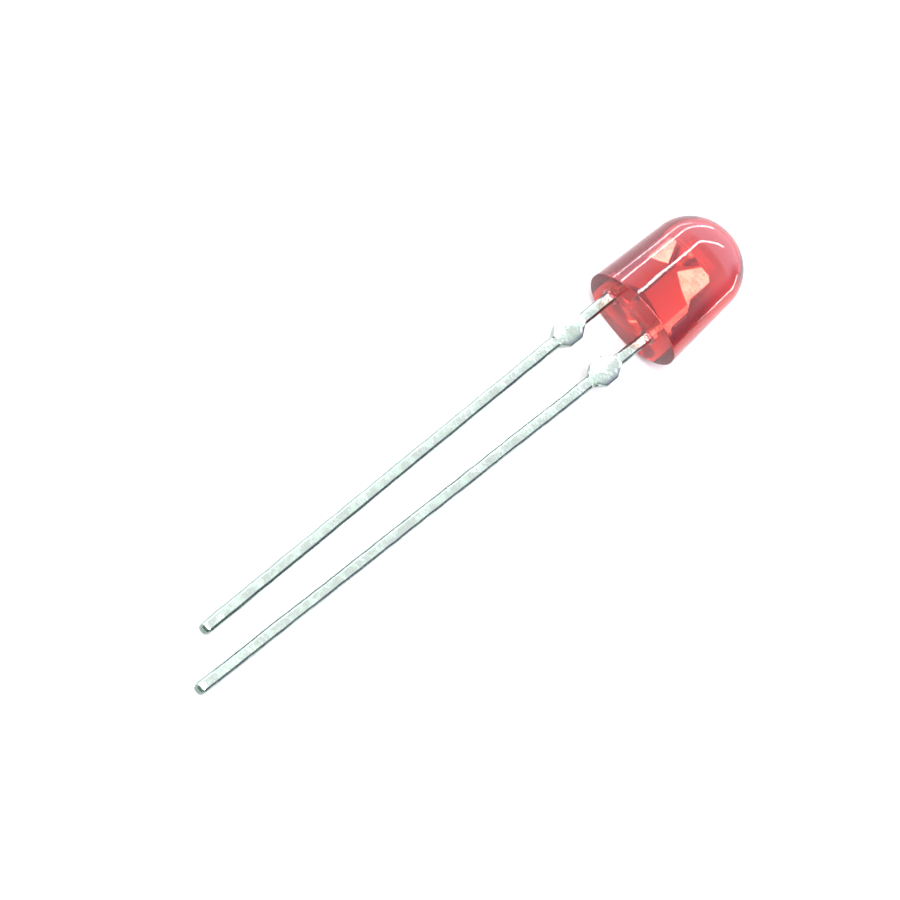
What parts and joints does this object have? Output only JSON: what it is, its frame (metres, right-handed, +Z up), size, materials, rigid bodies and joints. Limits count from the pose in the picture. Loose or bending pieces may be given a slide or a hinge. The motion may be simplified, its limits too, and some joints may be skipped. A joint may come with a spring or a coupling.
{
  "type": "through-hole led",
  "caption": "Oval red tinted epoxy indicator lamp without a flange, with a longer anode lead and a shorter cathode lead, each with a stand-off ear.",
  "frame": {"origin": "centre of the flat base face of the epoxy body", "axes": "the lamp lies on its broad flank as it comes to rest: +Y along the lamp towards the dome, raised 3.32 degrees, X across the leads with the anode at +X, rolled 3.76 degrees, +Z up out of the upper flank"},
  "size_m": [0.0054, 0.0354, 0.004],
  "materials": {
    "tinted_epoxy": "clear red tinted cast epoxy, polished by its mould",
    "tinned_steel": "hot tin dipped strip, faintly greenish grey and mottled; silver plated inside the body",
    "chip": "sawn dark red semiconductor chip with a polished top",
    "silver_paste": "matt silver-filled paste",
    "gold": "bright drawn gold wire"
  },
  "bodies": {
    "root": {"lens_body": "tinted_epoxy", "cathode_lead": "tinned_steel", "anode_lead": "tinned_steel", "die": "chip", "die_attach": "silver_paste", "bond_wire": "gold"}
  },
  "joints": []
}
